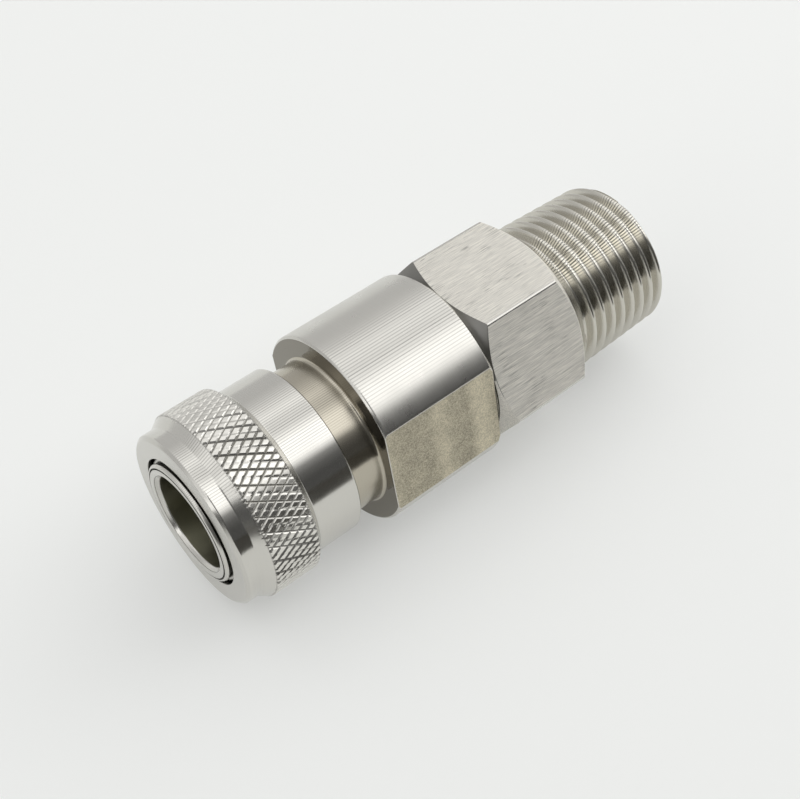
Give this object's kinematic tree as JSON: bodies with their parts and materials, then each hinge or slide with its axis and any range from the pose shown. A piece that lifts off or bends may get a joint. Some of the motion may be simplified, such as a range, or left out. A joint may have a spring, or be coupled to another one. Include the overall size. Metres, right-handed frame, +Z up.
{
  "type": "quick coupling body",
  "caption": "Stainless ball-lock quick coupling body: sprung knurled sleeve, check valve, wrench flats, hexagon and taper pipe thread, for coolant lines.",
  "frame": {"origin": "on the coupling's axis, at the rear face of the hexagon, where the pipe thread starts", "axes": "+X along the axis towards the pipe thread, +Z up, lying on the round body as pictured"},
  "size_m": [0.0702, 0.0278, 0.026],
  "materials": {
    "stainless": "turned",
    "spring_steel": "drawn",
    "ball_steel": "polished",
    "seal_rubber": "matte",
    "seal_plastic": "matte"
  },
  "bodies": {
    "coupler": {"socket_body": "stainless", "adapter": "stainless", "adapter_seal": "seal_rubber", "snap_ring": "spring_steel", "plug_seal": "seal_rubber", "seal_backup_ring": "seal_plastic", "valve_guide": "stainless", "valve_spring": "spring_steel"},
    "spring_carrier": {"sleeve_spring": "spring_steel"},
    "sleeve": {"locking_sleeve": "stainless"},
    "valve": {"valve_poppet": "stainless", "valve_seal": "seal_rubber"},
    "lock_ball_1_body": {"lock_ball_1": "ball_steel"},
    "lock_ball_2_body": {"lock_ball_2": "ball_steel"},
    "lock_ball_3_body": {"lock_ball_3": "ball_steel"},
    "lock_ball_4_body": {"lock_ball_4": "ball_steel"},
    "lock_ball_5_body": {"lock_ball_5": "ball_steel"},
    "lock_ball_6_body": {"lock_ball_6": "ball_steel"},
    "lock_ball_7_body": {"lock_ball_7": "ball_steel"},
    "lock_ball_8_body": {"lock_ball_8": "ball_steel"}
  },
  "joints": [
    {"name": "sleeve_turn", "type": "hinge", "parent": "coupler", "child": "spring_carrier", "pos_m": [-0.0405, 0, 0], "axis": [1, 0, 0], "continuous": true},
    {"name": "sleeve_slide", "type": "slide", "parent": "spring_carrier", "child": "sleeve", "axis": [1, 0, 0], "range_m": [0, 0.0036], "stiffness_N_per_m": 2500, "springref_m": -0.004, "deforming": ["sleeve_spring"]},
    {"name": "valve_slide", "type": "slide", "parent": "coupler", "child": "valve", "axis": [1, 0, 0], "range_m": [0, 0.0026], "stiffness_N_per_m": 1000, "springref_m": -0.003, "deforming": ["valve_spring"]},
    {"name": "lock_ball_1_lift", "type": "slide", "parent": "coupler", "child": "lock_ball_1_body", "axis": [0, 0.3827, 0.9239], "range_m": [0, 0.00105]},
    {"name": "lock_ball_2_lift", "type": "slide", "parent": "coupler", "child": "lock_ball_2_body", "axis": [0, 0.9239, 0.3827], "range_m": [0, 0.00105]},
    {"name": "lock_ball_3_lift", "type": "slide", "parent": "coupler", "child": "lock_ball_3_body", "axis": [0, 0.9239, -0.3827], "range_m": [0, 0.00105]},
    {"name": "lock_ball_4_lift", "type": "slide", "parent": "coupler", "child": "lock_ball_4_body", "axis": [0, 0.3827, -0.9239], "range_m": [0, 0.00105]},
    {"name": "lock_ball_5_lift", "type": "slide", "parent": "coupler", "child": "lock_ball_5_body", "axis": [0, -0.3827, -0.9239], "range_m": [0, 0.00105]},
    {"name": "lock_ball_6_lift", "type": "slide", "parent": "coupler", "child": "lock_ball_6_body", "axis": [0, -0.9239, -0.3827], "range_m": [0, 0.00105]},
    {"name": "lock_ball_7_lift", "type": "slide", "parent": "coupler", "child": "lock_ball_7_body", "axis": [0, -0.9239, 0.3827], "range_m": [0, 0.00105]},
    {"name": "lock_ball_8_lift", "type": "slide", "parent": "coupler", "child": "lock_ball_8_body", "axis": [0, -0.3827, 0.9239], "range_m": [0, 0.00105]}
  ],
  "couplings": [
    {"joint": "lock_ball_1_lift", "follows": "sleeve_slide", "ratio": 0.29},
    {"joint": "lock_ball_2_lift", "follows": "sleeve_slide", "ratio": 0.29},
    {"joint": "lock_ball_3_lift", "follows": "sleeve_slide", "ratio": 0.29},
    {"joint": "lock_ball_4_lift", "follows": "sleeve_slide", "ratio": 0.29},
    {"joint": "lock_ball_5_lift", "follows": "sleeve_slide", "ratio": 0.29},
    {"joint": "lock_ball_6_lift", "follows": "sleeve_slide", "ratio": 0.29},
    {"joint": "lock_ball_7_lift", "follows": "sleeve_slide", "ratio": 0.29},
    {"joint": "lock_ball_8_lift", "follows": "sleeve_slide", "ratio": 0.29}
  ]
}
